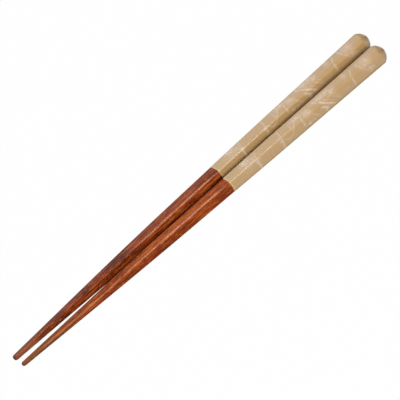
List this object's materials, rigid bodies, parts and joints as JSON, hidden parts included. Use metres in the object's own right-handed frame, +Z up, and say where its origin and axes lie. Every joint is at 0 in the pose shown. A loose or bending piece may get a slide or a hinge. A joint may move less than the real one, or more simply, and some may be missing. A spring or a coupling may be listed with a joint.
{
  "type": "pair of chopsticks",
  "caption": "Pair of long tapered wooden eating sticks of rounded square section, with domed painted grip ends and blunt bare-wood tips, lying side by side.",
  "frame": {"origin": "middle of the pair on the table, halfway between the tips and the butts", "axes": "+X from the tips to the butts, +Z up from the table, +Y towards the left stick"},
  "size_m": [0.2256, 0.0232, 0.0084],
  "materials": {
    "lacquered_wood": "glossy clear lacquer over red-brown wood from the tip, satin tan paint with fine pale veins on the grip half"
  },
  "bodies": {
    "root": {"left_chopstick": "lacquered_wood", "right_chopstick": "lacquered_wood"}
  },
  "joints": []
}
